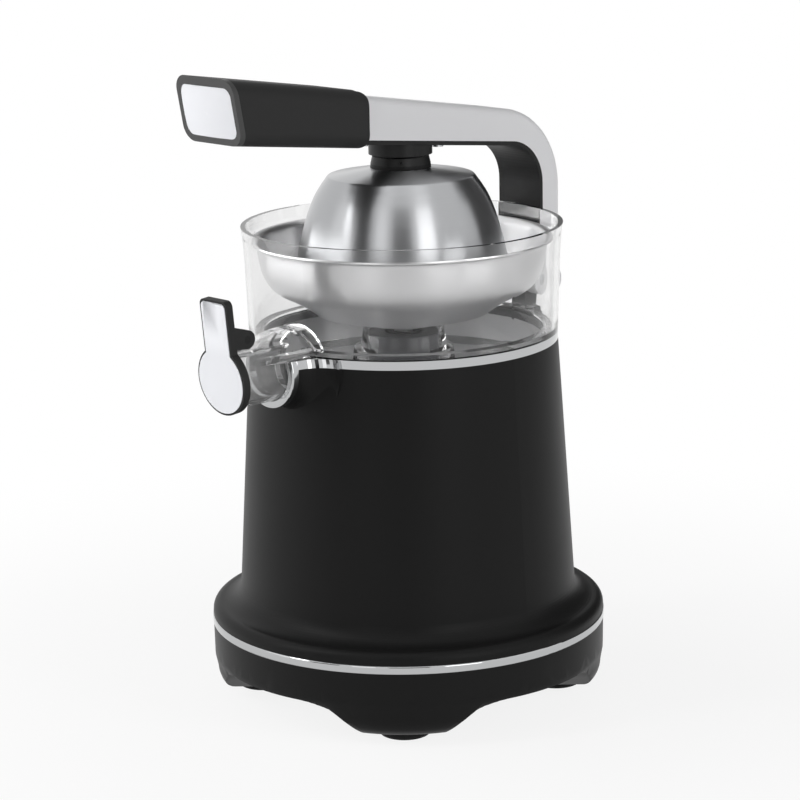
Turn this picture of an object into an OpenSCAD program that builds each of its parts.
// Citrus press juicer with a lever arm, a geared motor and a spout flap.
// Millimetres. +Z is up, z = 0 is the ground under the feet. The body axis is Z.
// The spout and the grip point along -Y, the arm hinge is at the rear on +Y.
//
// Contents
//   1  driving dimensions          5  bowl, strainer and dome
//   2  derived values and helpers  6  arm, grip and hub
//   3  base and body               7  spout flap
//   4  motor and gear train        8  assembly

/* [Body] */
// Overall radius of the bright base ring
ring_r = 102.4; // [98:0.2:108]
// Radius of the body wall just above the foot flange
wall_low_r = 86.7; // [84:0.1:89]
// Radius of the body wall at its top edge
body_top_r = 79.2; // [78.6:0.1:79.8]
// Height of the body's top edge
body_top_z = 186.4; // [185.8:0.1:187]
// Wall thickness of the body shell
body_wall = 3; // [2.4:0.1:3.4]
// Height at which the body shell meets the base ring
flange_z = 43; // [42:0.5:44]
// Width of the soft fillet between flange and wall
flange_fillet = 10.5; // [8:0.5:12]
// Height of the deck that carries the bowl
deck_z = 165; // [163:0.5:166]
// Radius of the drive tower on the deck
tower_r = 18; // [17:0.1:18]
// Height of the top of the drive tower
tower_z = 190; // [188:0.5:191]

/* [Lower cover] */
// Height of the base ring
base_ring_h = 4.3; // [3:0.1:6]
// Height of the underside of the lobes
lobe_z = 5; // [4:0.5:7]
// Height of the arches between the lobes
arch_z = 17; // [15:0.5:18]
// Half width of an arch where it meets the lobe's underside
arch_half_w = 53; // [48:0.5:56]
// Wall thickness of the lower cover
cover_wall = 2.5; // [2:0.1:3]
// Radius of a rubber foot
foot_r = 13; // [10:0.5:15]
// Distance of a foot's centre inside the base ring
foot_inset = 25.4; // [24.4:0.5:28.4]

/* [Bowl and strainer] */
// Height of the rim of the clear bowl
bowl_rim_z = 246; // [243:0.5:248]
// Wall thickness of the clear bowl
bowl_wall = 2.5; // [2:0.1:2.8]
// Height of the bowl's floor inside
bowl_floor_z = 173; // [172:0.5:174]
// Gap between the strainer's rim and the bowl's wall
strainer_play = 2.72; // [2.3:0.02:4.5]
// Sheet thickness of the strainer and the dome
sheet = 1; // [0.8:0.1:1.2]
// Number of juice slots in one row of the strainer
slot_count = 30; // [20:1:36]
// Radius of the dome's open edge
dome_edge_r = 54.5; // [52:0.5:56]
// Height of the dome's open edge with the arm down
dome_edge_z = 226; // [224:0.5:228]
// Height of the dome's flat top with the arm down
dome_top_z = 276.6; // [276:0.1:276.8]

/* [Spout] */
// Height of the spout's axis
spout_z = 184; // [183.6:0.1:184.2]
// Outer radius of the spout tube
tube_r = 15.2; // [14.8:0.1:15.2]
// Radius of the spout's bore
bore_r = 12.8; // [12:0.1:13]
// Outer radius of the bright collar
collar_r = 19; // [18:0.5:20]
// Reach of the collar's face beyond the body's top edge
collar_reach = 12.8; // [10.8:0.5:13.8]
// Outer radius of the clear hood where it leaves the bowl
hood_r = 20.3; // [19.5:0.1:20.5]

/* [Flap] */
// Distance of the flap's face from the body axis
flap_y = 121.5; // [121:0.5:124]
// Lean of the flap
flap_tilt = 5.5; // [4:0.5:7]
// Radius of the flap's disc
flap_r = 17.3; // [16.5:0.1:18]
// Half width of the flap's tab
tab_half_w = 10; // [9:0.5:11]
// Length of the tab above the disc's centre
tab_len = 40.8; // [38:0.2:43]
// Thickness of the flap
flap_t = 4; // [3.4:0.1:4.2]

/* [Arm] */
// Width of the arm
arm_w = 30; // [28:0.5:31]
// Radius of the arm's outer bend
elbow_out_r = 44; // [42:0.5:46]
// Radius of the arm's inner bend
elbow_in_r = 22; // [20:0.5:24]
// Radius that rounds the arm's top edges
arm_edge_r = 4; // [3:0.5:4.5]
// Wall thickness of the arm shell
arm_wall = 2.5; // [2:0.1:2.8]
// Distance of the arm's pivot behind the body's top edge
pivot_reach = 14.3; // [14.2:0.1:14.4]
// Height of the arm's pivot
pivot_z = 205; // [204:0.5:206]
// Radius of the arm's hinge pin
hinge_pin_r = 3; // [2.5:0.1:3.2]

/* [Grip] */
// Width of the grip
grip_w = 42.6; // [40:0.2:45]
// Radius of the grip's long edges
grip_edge_r = 7.5; // [5:0.5:9]
// Distance of the grip's rear end in front of the body axis
grip_rear_y = 40; // [36:1:46]
// Width of the inlay in the grip's end
inlay_w = 37; // [33:0.5:38]
// Height of the inlay in the grip's end
inlay_h = 25; // [22:0.5:26]

/* [Gear train] */
// Module of the output stage, tooth size in millimetres
module_out = 1.25; // [1.2:0.01:1.3]
// Module of the motor stage
module_in = 1; // [0.96:0.01:1.02]
// Teeth of the output gear
teeth_out = 60; // [58:2:60]
// Teeth of the compound gear's small wheel
teeth_small = 15; // [15:1:16]
// Teeth of the compound gear's large wheel
teeth_large = 48; // [46:2:48]
// Teeth of the motor pinion
teeth_pinion = 12; // [12:1:13]
// Thinning of each tooth for free running
backlash = 0.3; // [0.2:0.02:0.4]
// Radius of the drive shaft
shaft_r = 5; // [4.5:0.1:5]
// Press travel of the reaming cone
press = 2.5; // [1.5:0.1:2.5]

/* [Fits] */
// Gap between parts that move past each other
gap = 0.4; // [0.3:0.05:0.5]
// Radial play of a pin or shaft in its bore
run = 0.05; // [0.02:0.01:0.09]

/* [Hidden] */
$fn = 96;
eps = 0.02;

// Colours
BLACK = "#282828";
SOFT = "#383838";
GREY = "#5c5c5c";
SILVER = "#c9cbcc";
STEEL = "#b4b7ba";
CHROME = "#e4e6e8";
PALE = "#eff0f2";
BRASS = "#c8a050";
NYLON = "#e8e4d8";
CLEAR = [0.86, 0.89, 0.9, 0.35];

// Heights that several parts share
cover_top_z = flange_z - base_ring_h;
floor_z = arch_z + cover_wall;
ring_top_z = body_top_z + 4.3;

// Places measured from the ring, the body's top edge and the flap
foot_at_r = ring_r - foot_inset;
collar_y = body_top_r + collar_reach;
pivot_y = body_top_r + pivot_reach;
hinge_y = flap_y - 9.5;
hinge_z = spout_z + 20;
plate_z = 121;
plate_t = 3;

// Point on a circle, and a run of points along an arc
function polar(r, a) = [r * cos(a), r * sin(a)];
function arc(c, r, a0, a1, n = 12) = [for (i = [0:n]) c + polar(r, a0 + (a1 - a0) * i / n)];
// Radius of the body wall at height z, and of the bowl wall at height z
function wall_r(z) = wall_low_r + (body_top_r - wall_low_r) * (z - 64) / (body_top_z - 64);
function bowl_r(z) = body_top_r + 0.8 * (z - ring_top_z) / 24.3
  + 0.6 * max(0, (z - bowl_rim_z + 16) / 16) + 0.4 * pow(max(0, (z - bowl_rim_z + 6) / 6), 2);

// Turns a drawing in (y, z) into a solid centred on x = 0
module across(width) {
  rotate([90, 0, 90])
    translate([0, 0, -width / 2])
      linear_extrude(width) children();
}

// Places children on a circle about the Z axis
module around(n, r, first = 0) {
  for (i = [0:n - 1])
    rotate(first + i * 360 / n)
      translate([r, 0, 0]) children();
}

// Tube between two heights
module tube(r_out, r_in, z0, z1) {
  translate([0, 0, z0])
    difference() {
      cylinder(r = r_out, h = z1 - z0);
      translate([0, 0, -1]) cylinder(r = r_in, h = z1 - z0 + 2);
    }
}

// Plain rod between two heights
module rod(r, z0, z1) {
  translate([0, 0, z0]) cylinder(r = r, h = z1 - z0);
}

// Rod along X, centred on x = 0, at (y, z)
module cross_rod(r, length, y, z) {
  translate([0, y, z])
    rotate([0, 90, 0])
      cylinder(r = r, h = length, center = true);
}

// Rectangle with round corners, exact arcs
module round_rect(w, h, r) {
  square([w - 2 * r, h], center = true);
  square([w, h - 2 * r], center = true);
  for (x = [-1, 1], y = [-1, 1])
    translate([x * (w / 2 - r), y * (h / 2 - r)]) circle(r = r, $fn = 48);
}

// Solid of revolution about the spout's axis; x is the radius, y the distance along -Y
module about_spout() {
  translate([0, 0, spout_z])
    rotate([90, 0, 0])
      rotate_extrude() children();
}

// Space in front of the body between two heights
module slab(z0, z1) {
  translate([-60, -200, z0]) cube([120, 200, z1 - z0]);
}

// ---- 3  base and body ----

cover_r = ring_r - 0.4;
lobe_half_w = 24.7;
crown_r = 22;
screw_at_r = ring_r - 11.4;
bracket_half_w = 11;

// Filled profile of the lower cover, drawn in by t at the walls and up by t at the floor
module cover_2d(t) {
  slope = 0.72 * t;
  lobe_in_r = foot_at_r - foot_r - 6;
  polygon(concat(
    [[0, arch_z + t], [lobe_in_r - 4 + slope, arch_z + t], [lobe_in_r + slope, lobe_z + t]],
    arc([cover_r - 8.4, lobe_z + 7], 7 - t, -90, 0),
    [[cover_r - 0.2 - t, 18], [cover_r - t, 36], [cover_r - t, cover_top_z + t], [0, cover_top_z + t]]
  ));
}

// Four radial prisms with a flat underside and flanks that run up into the arches
module lobes(up) {
  flank = 118.4;
  for (a = [45:90:315])
    rotate([90, 0, a + 90])
      translate([0, up, foot_at_r - 27])
        linear_extrude(60)
          for (side = [0, 1])
            mirror([side, 0])
              polygon(concat(
                [[0, lobe_z], [lobe_half_w, lobe_z]],
                arc([arch_half_w - 0.5, arch_z - crown_r], crown_r, flank, 90, 8),
                [[arch_half_w, arch_z + 1], [0, arch_z + 1]]
              ));
}

module cover_solid(t) {
  intersection() {
    rotate_extrude() cover_2d(t);
    union() {
      rod(ring_r + 5, arch_z + t, flange_z + 5);
      lobes(t);
    }
  }
}

module lower_cover() {
  color(BLACK)
    difference() {
      cover_solid(0);
      cover_solid(cover_wall);
      around(4, foot_at_r, 45) rod(foot_stem_r, 0, lobe_z + cover_wall + 1);
      around(4, screw_at_r) rod(1.6, 0, floor_z + 1);
      // Air slots under the fan
      for (x = [-24:8:24])
        translate([x - 1.5, -22, arch_z - 1]) cube([3, 44, cover_wall + 2]);
      // Opening for the cord gland
      translate([0, cover_r + 5, gland_z]) rotate([90, 0, 0]) cylinder(r = gland_r, h = 15);
    }
}

foot_stem_r = 3;
gland_r = 6;
gland_z = 28;

module rubber_feet() {
  color(BLACK)
    around(4, foot_at_r, 45)
      rotate_extrude()
        polygon(concat(
          [[0, 0]],
          arc([foot_r - 1.4, 1.4], 1.4, -90, 0, 5),
          [[foot_r - 0.6, lobe_z], [foot_stem_r, lobe_z], [foot_stem_r, lobe_z + cover_wall],
           [foot_stem_r + 1.4, lobe_z + cover_wall], [foot_stem_r, lobe_z + cover_wall + 2.5],
           [0, lobe_z + cover_wall + 2.5]]
        ));
}

// Pan head screw with a cross recess, head down
module screw(r, length, head_r, head_h) {
  difference() {
    union() {
      cylinder(r = r, h = length);
      translate([0, 0, -head_h]) cylinder(r = head_r, h = head_h);
    }
    for (a = [0, 90])
      rotate(a)
        translate([-head_r * 0.6, -0.4, -head_h - 1]) cube([head_r * 1.2, 0.8, head_h / 2 + 1]);
  }
}

module base_screws() {
  color(STEEL)
    around(4, screw_at_r)
      translate([0, 0, arch_z]) screw(1.6, 20, 3.2, 2);
}

module cord_gland() {
  reach = 7;
  play = 0.2;
  inner = reach + cover_wall + 0.8;
  color(BLACK)
    translate([0, cover_r + reach + 0.05, gland_z])
      rotate([90, 0, 0])
        rotate_extrude()
          polygon([
            [3.2, 0], [4.6, 0], [gland_r, reach - 2], [gland_r + 2, reach - 2], [gland_r + 2, reach],
            [gland_r - play, reach], [gland_r - play, inner], [gland_r + 1.5, inner],
            [4.6, inner + 2], [3.2, inner + 2]
          ]);
}

module base_ring() {
  inner_r = ring_r - 5.4;
  color(CHROME)
    rotate_extrude()
      polygon(concat(
        [[inner_r, cover_top_z], [ring_r - 0.8, cover_top_z]],
        arc([ring_r - 0.8, cover_top_z + 0.8], 0.8, -90, 0, 4),
        arc([ring_r - 0.8, flange_z - 0.8], 0.8, 0, 90, 4),
        [[inner_r, flange_z]]
      ));
}

// Filled profile of the body shell, drawn in by t
module body_2d(t) {
  top = t > 0 ? deck_z - body_wall : body_top_z;
  foot_z = flange_z + 2;
  toe_r = 4.5;
  // The fillet is limited by the flange that it stands on
  f = min(flange_fillet, cover_r - toe_r - wall_r(59));
  polygon(concat(
    [[0, flange_z - t], [cover_r - t, flange_z - t]],
    arc([cover_r - toe_r, foot_z], toe_r - t, 0, 90, 8),
    arc([wall_r(59) + f, foot_z + toe_r + f], f + t, 270, 180, 12),
    [[wall_r(top) - t, top], [0, top]]
  ));
}

// Soft swelling that carries the collar out from the wall
module flare() {
  reach = 14;
  face = collar_y - 4;
  about_spout()
    polygon(concat(
      [[0, face]],
      arc([collar_r + reach, face], reach, 180, 270, 12),
      [[collar_r + reach, face - reach - 8], [0, face - reach - 8]]
    ));
}

// Space for the spout, a U open at the top
module spout_slot() {
  r = tube_r + 0.3;
  translate([0, 0, spout_z])
    rotate([90, 0, 0])
      translate([0, 0, 60]) cylinder(r = r, h = 60);
  translate([-r, -120, spout_z]) cube([2 * r, 60, 40]);
}

// Bracket under the hinge post, behind the wall
module rear_bracket() {
  bend = 16;
  inner = body_top_r - 9.2;
  across(2 * bracket_half_w)
    polygon(concat(
      [[inner, deck_z - 1]],
      arc([pivot_y - 11.5, deck_z + 15], bend, -90, 0, 12),
      [[pivot_y - 11.5 + bend, body_top_z], [inner, body_top_z]]
    ));
}

module body_shell() {
  boss_r = 11;
  tower_wall = 2.5;
  color(BLACK) {
    difference() {
      union() {
        rotate_extrude() body_2d(0);
        intersection() {
          flare();
          slab(120, body_top_z);
        }
        rear_bracket();
      }
      rotate_extrude() body_2d(body_wall);
      // Well that takes the bowl
      rotate_extrude()
        polygon([[0, deck_z], [wall_r(deck_z) - body_wall, deck_z],
                 [body_top_r - body_wall, body_top_z + 1], [0, body_top_z + 1]]);
      spout_slot();
      rod(tower_r - tower_wall, deck_z - 10, deck_z + 10);
    }
    // Drive tower with the boss for the bush inside
    tube(tower_r, tower_r - tower_wall, deck_z - body_wall, tower_z);
    tube(tower_r - tower_wall, bush_r, tower_z - 3, tower_z);
    tube(boss_r, bush_r, deck_z - body_wall, tower_z - 3);
    // Screw bosses under the flange
    around(4, screw_at_r) tube(4.5, 1.6, floor_z, flange_z + 6);
  }
}

bush_r = 8;

module top_ring() {
  inner_r = spigot_r + gap;
  color(CHROME)
    difference() {
      union() {
        rod(body_top_r, body_top_z, ring_top_z);
        intersection() {
          union() {
            flare();
            about_spout()
              translate([0, collar_y - 4])
                polygon(concat(
                  [[0, 0], [collar_r, 0]],
                  arc([collar_r - 1, 3], 1, 0, 90, 5),
                  [[0, 4]]
                ));
          }
          union() {
            slab(body_top_z, ring_top_z);
            translate([-60, -200, 120]) cube([120, 200 - collar_y + 4, ring_top_z - 120]);
          }
        }
      }
      rod(inner_r, body_top_z - 1, ring_top_z + 1);
      spout_slot();
    }
}

module bearing_bush() {
  color(BRASS) {
    tube(bush_r, shaft_r + run, deck_z - 3, tower_z - 4);
    tube(bush_r + 2.5, shaft_r + run, deck_z - 5, deck_z - 3);
  }
}

module shaft_seal() {
  z = tower_z - 4;
  color(BLACK)
    rotate_extrude()
      polygon([
        [shaft_r + run, z], [bush_r, z], [bush_r, tower_z], [bush_r + 1.5, tower_z],
        [bush_r + 1.5, tower_z + 0.8], [shaft_r + 1.2, tower_z + 0.8], [shaft_r + run, tower_z - 1]
      ]);
}

// ---- 4  motor and gear train ----

// Centre distances, and where the compound gear and the motor stand
axle_out = module_out * (teeth_out + teeth_small) / 2;
axle_in = module_in * (teeth_large + teeth_pinion) / 2;
motor_dir = 204.4;
compound_at = [0, axle_out];
motor_at = compound_at + polar(axle_in, motor_dir);
pillar_at_r = wall_r(plate_z) - body_wall - 10.2;
pillars_at = [for (a = [-30, 55, 160, 210]) polar(pillar_at_r, a)];

// Axial stations of the train
large_z = 124;
large_h = 7;
wheel_z = 140;
wheel_h = 9;
can_r = 28;
can_z = 52;
hex_r = shaft_r;
tip_z = 113;
spring_z = 120;
spring_h = 11;

// Involute of a circle, in degrees, and a tooth's half angle at radius r
function involute(a) = tan(a) * 180 / PI - a;
function tooth_half(r, teeth, rp) =
  90 / teeth - backlash / (2 * rp) * 180 / PI + involute(20) - involute(acos(min(1, rp * cos(20) / r)));

// Outline of a spur gear with a tooth centred on +X
module gear_2d(teeth, m) {
  rp = m * teeth / 2;
  root = rp - m;
  tip = rp + 0.75 * m;
  start = max(root, rp * cos(20));
  steps = [for (i = [0:3]) start + (tip - start) * i / 3];
  polygon([
    for (k = [0:teeth - 1])
      let (a = k * 360 / teeth, foot = tooth_half(start, teeth, rp))
        each concat(
          [polar(root, a - foot)],
          [for (i = [0:3]) polar(steps[i], a - tooth_half(steps[i], teeth, rp))],
          [for (i = [3:-1:0]) polar(steps[i], a + tooth_half(steps[i], teeth, rp))],
          [polar(root, a + foot)]
        )
  ]);
}

module gear_plate() {
  color(GREY)
    translate([0, 0, plate_z - plate_t])
      linear_extrude(plate_t)
        difference() {
          hull() for (p = pillars_at) translate(p) circle(r = 8, $fn = 32);
          circle(r = hub_r + run);
          translate(compound_at) circle(r = 3);
          translate(motor_at) circle(r = 6);
          for (p = pillars_at) translate(p) circle(r = 2);
          translate([0, -22]) circle(r = 9);
        }
}

hub_r = 9;

module plate_pillars() {
  color(STEEL)
    for (p = pillars_at)
      translate(p) {
        rod(4, plate_z, deck_z - body_wall);
        rod(2, plate_z - plate_t - 2, plate_z);
        rod(3.4, plate_z - plate_t - 2, plate_z - plate_t);
      }
}

module motor_can() {
  cap = 3;
  top = plate_z - plate_t;
  color(STEEL)
    translate(motor_at) {
      tube(can_r, can_r - 1.5, can_z, top);
      tube(can_r, 2.5 + run, top - cap, top);
    }
}

module motor_end_cap() {
  color(BLACK)
    translate(motor_at)
      difference() {
        union() {
          rod(can_r, can_z - 4, can_z);
          rod(6, can_z - 8, can_z);
        }
        rod(2.5 + run, can_z - 9, can_z + 1);
        around(6, 16) rod(5, can_z - 5, can_z + 1);
      }
}

module motor_magnets() {
  span = 130;
  color(GREY)
    translate([motor_at.x, motor_at.y, can_z + 10])
      for (a = [0, 180])
        rotate(a - span / 2)
          rotate_extrude(angle = span)
            translate([can_r - 5.5, 0]) square([4, plate_z - plate_t - can_z - 22]);
}

module rotor() {
  color(STEEL)
    translate(motor_at) {
      rod(2.5, can_z - 18, large_z + large_h + 2);
      // Slotted armature
      translate([0, 0, can_z + 14])
        linear_extrude(plate_z - plate_t - can_z - 30)
          difference() {
            circle(r = can_r - 7);
            around(10, can_r - 13) square([9, 3], center = true);
            circle(r = 2);
          }
      // Commutator and pinion
      rod(8, can_z + 3, can_z + 10);
      translate([0, 0, large_z - 0.5])
        linear_extrude(large_h + 1)
          rotate(motor_dir + 180 + 180 / teeth_pinion) gear_2d(teeth_pinion, module_in);
    }
}

module cooling_fan() {
  z = can_z - 14;
  color(BLACK)
    translate([motor_at.x, motor_at.y, z]) {
      tube(8, 2.5, -4, 4);
      around(9, 16.5)
        rotate([38, 0, 0]) cube([19, 1.4, 8], center = true);
      tube(27, 25.5, -3.5, 3.5);
    }
}

module compound_pin() {
  color(STEEL)
    translate(compound_at) {
      rod(3, plate_z - plate_t, wheel_z + wheel_h + 4);
      rod(5, wheel_z + wheel_h + 2.6, wheel_z + wheel_h + 4.6);
    }
}

module compound_gear() {
  top = wheel_z + wheel_h + 2.2;
  color(NYLON)
    translate(compound_at)
      difference() {
        union() {
          translate([0, 0, large_z])
            linear_extrude(large_h)
              difference() {
                rotate(motor_dir) gear_2d(teeth_large, module_in);
                around(6, 15) circle(r = 3.6);
              }
          rod(6.5, plate_z + gap, large_z);
          translate([0, 0, large_z + large_h])
            linear_extrude(top - large_z - large_h)
              rotate(270 + 180 / teeth_small) gear_2d(teeth_small, module_out);
        }
        rod(3 + run, plate_z - 1, top + 1);
      }
}

module output_gear() {
  top = wheel_z + wheel_h + 1;
  rim = module_out * teeth_out / 2 - 6;
  color(NYLON)
    difference() {
      union() {
        translate([0, 0, wheel_z])
          linear_extrude(wheel_h)
            rotate(90) gear_2d(teeth_out, module_out);
        rod(12, plate_z + gap, top);
        rod(hub_r, spring_z - 2.5, plate_z + gap);
      }
      // Web hollowed on both faces, with lightening holes
      tube(rim, 13.5, wheel_z - 1, wheel_z + 3);
      tube(rim, 13.5, wheel_z + wheel_h - 3, wheel_z + wheel_h + 2);
      around(6, 22.5) rod(5, wheel_z - 1, wheel_z + wheel_h + 1);
      // Hexagonal bore for the shaft, and the hole for its tip
      translate([0, 0, spring_z]) cylinder(r = hex_r + gap / cos(30), h = 60, $fn = 6);
      rod(2 + gap, spring_z - 5, spring_z + 1);
    }
}

module drive_shaft() {
  hex_top = wheel_z + wheel_h + press + 2;
  color(STEEL) {
    rod(2, tip_z, spring_z + spring_h);
    translate([0, 0, spring_z + spring_h])
      cylinder(r = hex_r, h = hex_top - spring_z - spring_h, $fn = 6);
    rod(shaft_r, hex_top, cone_z - 0.5);
    rod(7, deck_z - 7 - gap, deck_z - 5 - gap);
    translate([0, 0, cone_z - 0.5]) cylinder(r = hex_r, h = cone_base_z - cone_z + 9.5, $fn = 6);
  }
}

// Coil spring under the shaft's hexagon
module return_spring() {
  turns = 5;
  wire = 0.45;
  color(STEEL)
    translate([0, 0, spring_z])
      linear_extrude(spring_h, twist = -360 * turns, slices = 16 * turns, $fn = 6)
        translate([3.4, 0]) scale([1, 2.2]) circle(r = wire);
}

cone_z = 194.5;
cone_base_z = 205;
cone_tip_z = 261;

// Profile of the reaming cone's core, drawn in by t
function cone_r(u) = 31 * pow(1 - u, 0.72);
module cone_2d(t, proud) {
  tall = cone_tip_z - cone_base_z - 2 - t;
  polygon(concat(
    [[0, cone_base_z + 2 - t]],
    [for (i = [0:10]) let (u = i / 10) [max(0.01, cone_r(u) - t + proud * (1 - u)), cone_base_z + 2 - t + tall * u]],
    [[0, cone_base_z + 2 - t + tall]]
  ));
}

module reaming_cone() {
  ribs = 8;
  stem_r = 11;
  color(BLACK)
    difference() {
      union() {
        difference() {
          rotate_extrude() cone_2d(0, 0);
          rotate_extrude() cone_2d(2.5, 0);
        }
        intersection() {
          rotate_extrude() cone_2d(0, 5);
          union()
            around(ribs, 0)
              translate([3, -1.3, cone_base_z]) cube([40, 2.6, 60]);
          difference() {
            rod(60, cone_base_z, cone_tip_z);
            rotate_extrude() cone_2d(1, 0);
          }
        }
        // Dished skirt
        rotate_extrude()
          polygon([[28, cone_base_z], [40, cone_base_z], [42, cone_base_z + 0.8],
                   [42, cone_base_z + 2.4], [28, cone_base_z + 2]]);
        tube(stem_r, hex_r - 1, cone_z, cone_base_z + 13.5);
        tube(28.5, stem_r - 0.5, cone_base_z, cone_base_z + 2);
      }
      translate([0, 0, cone_z - 1]) cylinder(r = hex_r, h = cone_base_z - cone_z + 10, $fn = 6);
    }
}

switch_turn = 38.4;

module micro_switch() {
  color(BLACK)
    rotate(switch_turn)
      difference() {
        union() {
          translate([-14, -5, 97]) cube([28, 10, 12]);
          for (x = [-14, 10.2])
            translate([x, -5, 109]) cube([3.8, 10, plate_z - plate_t - 109]);
          for (x = [-10, 0, 10])
            translate([x - 1.5, -0.4, 91]) cube([3, 0.8, 6]);
        }
        rod(2 + run, tip_z - gap - press - 9.5, 110);
      }
}

module switch_plunger() {
  color(NYLON)
    rod(2, tip_z - gap - 9, tip_z - gap);
}

// ---- 5  bowl, strainer and dome ----

sleeve_in_r = tower_r + 0.5;
sleeve_r = 21;
seat_z = 195.7;
spigot_gap = 2.2;
spigot_r = body_top_r - body_wall - spigot_gap;

// Outline of a sheet whose lower side follows the points of p
function unit(v) = v / norm(v);
function beside(p, i, t) =
  let (d = unit(p[min(i + 1, len(p) - 1)] - p[max(i - 1, 0)])) p[i] + t * [-d.y, d.x];
function sheet_outline(p, t) = concat(p, [for (i = [len(p) - 1:-1:0]) beside(p, i, t)]);

// Half section of the bowl
module bowl_2d() {
  steps = [for (i = [0:10]) ring_top_z + (bowl_rim_z - ring_top_z) * i / 10];
  polygon(concat(
    [[sleeve_in_r, bowl_floor_z - 3], [spigot_r, bowl_floor_z - 3], [spigot_r, ring_top_z]],
    [for (z = steps) [bowl_r(z), z]],
    [for (i = [10:-1:1]) [bowl_r(steps[i]) - bowl_wall, steps[i]]],
    [[body_top_r - bowl_wall, ring_top_z + bowl_wall], [spigot_r - bowl_wall, ring_top_z + bowl_wall],
     [spigot_r - bowl_wall, bowl_floor_z], [sleeve_r + 6, bowl_floor_z], [sleeve_r + 4.5, bowl_floor_z + 9],
     [sleeve_r + 1.5, bowl_floor_z + 10.5], [sleeve_r, bowl_floor_z + 17],
     [sleeve_r, seat_z], [sleeve_in_r, seat_z]]
  ));
}

// Solid of the hood over the spout, drawn in by t
module hood(t) {
  start = collar_y - 22;
  reach = flap_y - 14.5 - start;
  drop = hood_r - tube_r - 0.1;
  about_spout()
    polygon(concat(
      [[0, start]],
      [for (p = [[0, 0], [0.27, 0.02], [0.46, 0.14], [0.62, 0.38], [0.81, 0.66], [1, 1]])
        [hood_r - drop * p.y - t, start + reach * p.x]],
      [[0, start + reach]]
    ));
}

// Places children in front of the flap's face, y along the flap and z outwards
module at_flap() {
  translate([0, -flap_y, spout_z - 0.5])
    rotate([90 + flap_tilt, 0, 0]) children();
}

module bowl() {
  lug_w = 11.8;
  color(CLEAR)
    difference() {
      union() {
        rotate_extrude() bowl_2d();
        about_spout() translate([0, spigot_r - 2]) square([tube_r, 60]);
        intersection() {
          hood(0);
          slab(ring_top_z, 230);
        }
        // Lug that the flap's pin runs in
        across(lug_w)
          hull() {
            translate([-hinge_y, hinge_z]) circle(r = 4.2, $fn = 48);
            translate([-hinge_y - 4.5, hinge_z - 7]) square([9, 2]);
          }
      }
      about_spout() translate([0, spigot_r - 6]) square([bore_r, 80]);
      // Inside of the hood, and the bowl's inside where they meet
      intersection() {
        hood(bowl_wall);
        slab(ring_top_z + bowl_wall, 230);
      }
      cross_rod(pin_r + run, 40, -hinge_y, hinge_z);
      at_flap() translate([-30, -40, -flap_t - 1.6]) cube([60, 80, 40]);
    }
}

pin_r = 2;

module strainer() {
  hole_r = 13;
  rim_r = bowl_r(bowl_rim_z) - bowl_wall - strainer_play;
  side_r = rim_r - 3.4;
  // Dish from the hole to the side wall: share of the way out, and height above the seat
  dish = [[0, 0], [0.149, 0], [0.272, 0.9], [0.457, 3.1], [0.639, 7.5], [0.801, 13], [0.899, 19.4],
          [0.959, 27], [0.985, 35.8], [1, 41.5]];
  p = concat(
    [for (d = dish) [hole_r + (side_r - hole_r) * d.x, seat_z + d.y]],
    [[rim_r - 1.2, seat_z + 43.4], [rim_r, seat_z + 43.6]]
  );
  color(STEEL)
    difference() {
      rotate_extrude() polygon(sheet_outline(p, sheet));
      for (row = [0, 1])
        around(slot_count, 26 + row * 11, row * 180 / slot_count)
          translate([0, -0.9, seat_z - 2]) cube([8, 1.8, 14]);
    }
}

module dome() {
  h = dome_top_z;
  p = [[7, h], [16, h], [22.6, h - 0.6], [30, h - 2.7], [37.4, h - 6.6], [43.7, h - 16.3],
       [48.8, h - 26.8], [51.6, h - 37.2], [dome_edge_r - 0.8, h - 42], [dome_edge_r, dome_edge_z]];
  color(STEEL)
    rotate_extrude() polygon(sheet_outline(p, -sheet));
}

// ---- 6  arm, grip and hub ----

leg_out_y = pivot_y + 8.1;
leg_in_y = pivot_y - 8;
elbow_out = [leg_out_y - elbow_out_r, 255];
elbow_in = [leg_in_y - elbow_in_r, 257.6];
top_lean = 9.2044;
under_lean = atan(0.112);
liner_t = 2.2;
arm_front_y = -100;
knuckle_r = 8;
post_w = 10;
cheek_z = pivot_z + 11;

// Height of the arm's underside at y, raised by t
function under_z(y, t = 0) =
  elbow_in.y + (elbow_in_r + t) / cos(under_lean) + tan(under_lean) * (elbow_in.x - y);

// Section of the arm, deep enough to reach into the space under it, with rounded top edges
module arm_section(w, r, edge) {
  deep = elbow_out_r - 32;
  polygon(concat(
    [[deep, -w / 2]],
    arc([r - edge, edge - w / 2], edge, -90, 0, 5),
    arc([r - edge, w / 2 - edge], edge, 0, 90, 5),
    [[deep, w / 2]]
  ));
}

// Arm without its underside: leg, elbow and beam, drawn in by t
module arm_outer(t, foot = pivot_z) {
  w = arm_w - 2 * t;
  r = elbow_out_r - t;
  edge = max(1, arm_edge_r - t);
  translate([0, elbow_out.x, foot])
    linear_extrude(elbow_out.y - foot) rotate(90) arm_section(w, r, edge);
  translate([0, elbow_out.x, elbow_out.y])
    rotate([90, 0, 90]) {
      rotate_extrude(angle = 90 - top_lean) arm_section(w, r, edge);
      rotate(90 - top_lean)
        rotate([-90, 0, 0])
          linear_extrude((elbow_out.x - arm_front_y) / cos(top_lean)) arm_section(w, r, edge);
    }
}

// Space under the arm, grown into it by t
module arm_void(t) {
  across(arm_w + 20)
    polygon(concat(
      [[-160, under_z(-160, t)]],
      arc(elbow_in, elbow_in_r + t, 90 - under_lean, 0, 16),
      [[leg_in_y + t, 150], [-160, 150]]
    ));
}

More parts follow.
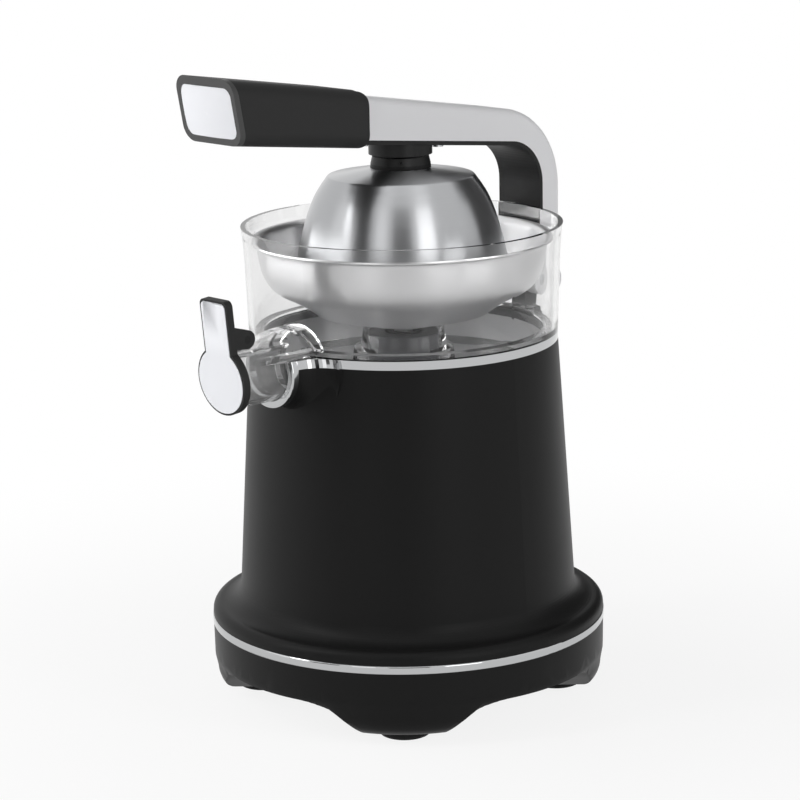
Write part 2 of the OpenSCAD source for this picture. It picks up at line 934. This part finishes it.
// Everything behind or above the knuckle, and the part of the arm that has a liner
module above_cheeks(z = cheek_z) {
  translate([-40, arm_front_y, z]) cube([80, 240, 150]);
}

arm_screws_y = [-26, 26];
arm_screw_len = 12;

module arm_shell() {
  color(SILVER)
    difference() {
      union() {
        difference() {
          union() {
            arm_outer(0);
            cross_rod(knuckle_r, arm_w, pivot_y, pivot_z);
          }
          arm_void(0);
          intersection() {
            arm_void(liner_t);
            above_cheeks();
          }
          intersection() {
            arm_outer(arm_wall, cheek_z);
            above_cheeks();
          }
        }
        // Screw bosses
        intersection() {
          for (y = arm_screws_y)
            translate([0, y, 270]) cylinder(r = 4, h = 60);
          difference() {
            arm_outer(arm_wall / 2);
            arm_void(liner_t);
          }
        }
      }
      translate([-post_w / 2 - gap, pivot_y - 20, 150]) cube([post_w + 2 * gap, 40, cheek_z - 150]);
      cross_rod(hinge_pin_r + run, 60, pivot_y, pivot_z);
      translate([0, arm_front_y - 50, 250]) cube([100, 100, 200], center = true);
      for (y = arm_screws_y)
        translate([0, y, 270]) cylinder(r = 1.6 + run, h = under_z(y) + arm_screw_len - 270);
    }
}

module arm_liner() {
  color(BLACK)
    difference() {
      intersection() {
        arm_outer(0, cheek_z);
        arm_void(liner_t);
        above_cheeks();
      }
      arm_void(0);
      for (y = arm_screws_y)
        translate([0, y, 270]) cylinder(r = 1.6 + run, h = under_z(y) + arm_screw_len - 270);
      translate([0, 0, 270]) cylinder(r = 11, h = 34);
    }
}

module arm_screws() {
  color(STEEL)
    for (y = arm_screws_y)
      translate([0, y, under_z(y, -0.4)]) screw(1.6, arm_screw_len, 3, 1.4);
}

module hinge_post() {
  front = body_top_r + 0.8;
  back = pivot_y + 4;
  color(BLACK)
    difference() {
      union() {
        across(post_w)
          hull() {
            translate([pivot_y, pivot_z]) circle(r = knuckle_r - 1, $fn = 64);
            translate([pivot_y - 6, ring_top_z - 3]) square([10, 2]);
          }
        across(2 * bracket_half_w - 2)
          polygon([[front, body_top_z], [back, body_top_z], [back, ring_top_z - 2.5],
                   [back - 1, ring_top_z - 1], [front + 1, ring_top_z - 1], [front, ring_top_z - 2.5]]);
      }
      cross_rod(hinge_pin_r, 60, pivot_y, pivot_z);
    }
}

module hinge_pin() {
  color(STEEL)
    cross_rod(hinge_pin_r, arm_w - 1, pivot_y, pivot_z);
}

grip_edge_top = 311.9;
grip_edge_low = 284.7;
grip_top_slope = 0.156;
grip_low_slope = 0.1206;
grip_face = [-123.95, 315];
grip_face_lean = 10.4;
grip_face_h = 33.9;
frame_t = 3;

// Beam along a sloping line through (0, z0); side = -1 hangs below it, 1 stands on it
module grip_beam(z0, slope, side) {
  tall = 60;
  e = grip_edge_r;
  translate([0, 0, z0])
    rotate([90, 0, 90])
      rotate(90 - atan(slope))
        rotate([-90, 0, 0])
          linear_extrude(150)
            mirror([side < 0 ? 1 : 0, 0]) {
              translate([e, -grip_w / 2]) square([tall, grip_w]);
              translate([0, -grip_w / 2 + e]) square([e + 1, grip_w - 2 * e]);
              for (s = [-1, 1])
                translate([e, s * (grip_w / 2 - e)]) circle(r = e, $fn = 64);
            }
}

module grip_solid() {
  rear_e = 4;
  top = grip_edge_top + grip_top_slope * grip_rear_y;
  low = grip_edge_low + grip_low_slope * grip_rear_y;
  lean = tan(grip_face_lean);
  intersection() {
    grip_beam(grip_edge_top, grip_top_slope, -1);
    grip_beam(grip_edge_low, grip_low_slope, 1);
    across(60)
      polygon(concat(
        arc([-grip_rear_y - rear_e, low + rear_e], rear_e, -90, 0, 8),
        arc([-grip_rear_y - rear_e, top - rear_e], rear_e, 0, 90, 8),
        [[grip_face.x - lean * 40, top + 50], [grip_face.x - lean * 35, grip_face.y + 35],
         [grip_face.x + lean * 35, grip_face.y - 35]]
      ));
  }
}

// Places children on the grip's end face, y up the face and z outwards
module at_grip_face() {
  translate([0, grip_face.x, grip_face.y])
    rotate([90 + grip_face_lean, 0, 0]) children();
}

module grip() {
  color(SOFT)
    difference() {
      grip_solid();
      difference() {
        arm_outer(0);
        arm_void(0);
        translate([0, arm_front_y - 50, 250]) cube([100, 100, 200], center = true);
      }
      at_grip_face() translate([-40, -40, -frame_t]) cube([80, 80, 20]);
    }
}

module grip_frame() {
  color(GREY)
    intersection() {
      grip_solid();
      at_grip_face()
        translate([0, 0, -frame_t])
          linear_extrude(frame_t + 5)
            difference() {
              square([60, 60], center = true);
              round_rect(inlay_w, inlay_h, 4.5);
            }
    }
}

module grip_inlay() {
  crown = 171;
  color(PALE)
    at_grip_face()
      intersection() {
        translate([0, 0, -frame_t]) linear_extrude(frame_t + 3) round_rect(inlay_w, inlay_h, 4.5);
        translate([0, 0, 1 - crown]) sphere(r = crown, $fn = 200);
      }
}

tilt_z = 272;
plug_r = 7;
hub_gap_z = 281.5;

module hub_mount() {
  r = 16.2;
  color(BLACK)
    difference() {
      union() {
        rod(r, hub_gap_z, 295);
        across(5)
          hull() {
            translate([0, tilt_z]) circle(r = 4, $fn = 48);
            translate([-4, hub_gap_z]) square([8, 1]);
          }
      }
      cross_rod(1.55, 30, 0, tilt_z);
      // Top follows the underside of the arm; a stub goes up through the liner
      difference() {
        across(60) polygon([[-40, under_z(-40)], [-40, 330], [40, 330], [40, under_z(40)]]);
        rod(11, 270, 294);
      }
    }
}

module hub_socket() {
  top = hub_gap_z - 1;
  color(BLACK)
    difference() {
      union() {
        translate([0, 0, dome_top_z])
          cylinder(r1 = 15.3, r2 = 14.4, h = top - dome_top_z);
        rod(plug_r, tilt_z - 6, dome_top_z);
      }
      translate([-2.9, -5, tilt_z - 4.6]) cube([5.8, 10, 20]);
      cross_rod(1.5, 40, 0, tilt_z);
      // Index mark
      rotate(-43) translate([13.9, 0, dome_top_z + 2]) rotate([0, 90, 0]) cylinder(r = 0.8, h = 3);
    }
}

module dome_pin() {
  color(STEEL) cross_rod(1.5, 12.4, 0, tilt_z);
}

module dome_clip() {
  color(STEEL) tube(plug_r + 3.5, plug_r, dome_top_z - sheet - 2, dome_top_z - sheet);
}

// ---- 7  spout flap ----

// Outline of the flap, drawn in by t
module flap_2d(t) {
  e = 3;
  w = 2 * (tab_half_w - t);
  circle(r = flap_r - t);
  translate([0, (tab_len - t) / 2]) round_rect(w, tab_len - t, e - t / 2);
}

module flap() {
  margin = 1.8;
  knuckle_w = 3.4;
  color(BLACK)
    difference() {
      union() {
        at_flap()
          translate([0, 0, -flap_t]) linear_extrude(flap_t) flap_2d(0);
        for (s = [-1, 1])
          translate([s * (6.3 + knuckle_w / 2), 0, 0])
            across(knuckle_w)
              hull() {
                translate([-hinge_y, hinge_z]) circle(r = 4.6, $fn = 48);
                translate([-flap_y + 0.6, hinge_z - 4]) square([1, 11]);
              }
      }
      at_flap() translate([0, 0, -1]) linear_extrude(2) flap_2d(margin);
      cross_rod(pin_r, 40, -hinge_y, hinge_z);
    }
}

module flap_inlay() {
  color(PALE)
    at_flap() translate([0, 0, -1]) linear_extrude(1.3) flap_2d(1.8);
}

module flap_pin() {
  color(STEEL) cross_rod(pin_r, 19.4, -hinge_y, hinge_z);
}

module flap_seal() {
  color(SOFT)
    at_flap() translate([0, 0, -flap_t - 1.2]) cylinder(r = tube_r - 1, h = 1.2);
}

// ---- 8  assembly ----

lower_cover();
rubber_feet();
base_screws();
cord_gland();
base_ring();
body_shell();
top_ring();
bearing_bush();
shaft_seal();
gear_plate();
plate_pillars();
motor_can();
motor_end_cap();
motor_magnets();
rotor();
cooling_fan();
compound_pin();
compound_gear();
output_gear();
drive_shaft();
return_spring();
reaming_cone();
micro_switch();
switch_plunger();
bowl();
strainer();
hinge_post();
hinge_pin();
arm_shell();
arm_liner();
arm_screws();
grip();
grip_frame();
grip_inlay();
hub_mount();
hub_socket();
dome_pin();
dome_clip();
dome();
flap();
flap_inlay();
flap_pin();
flap_seal();
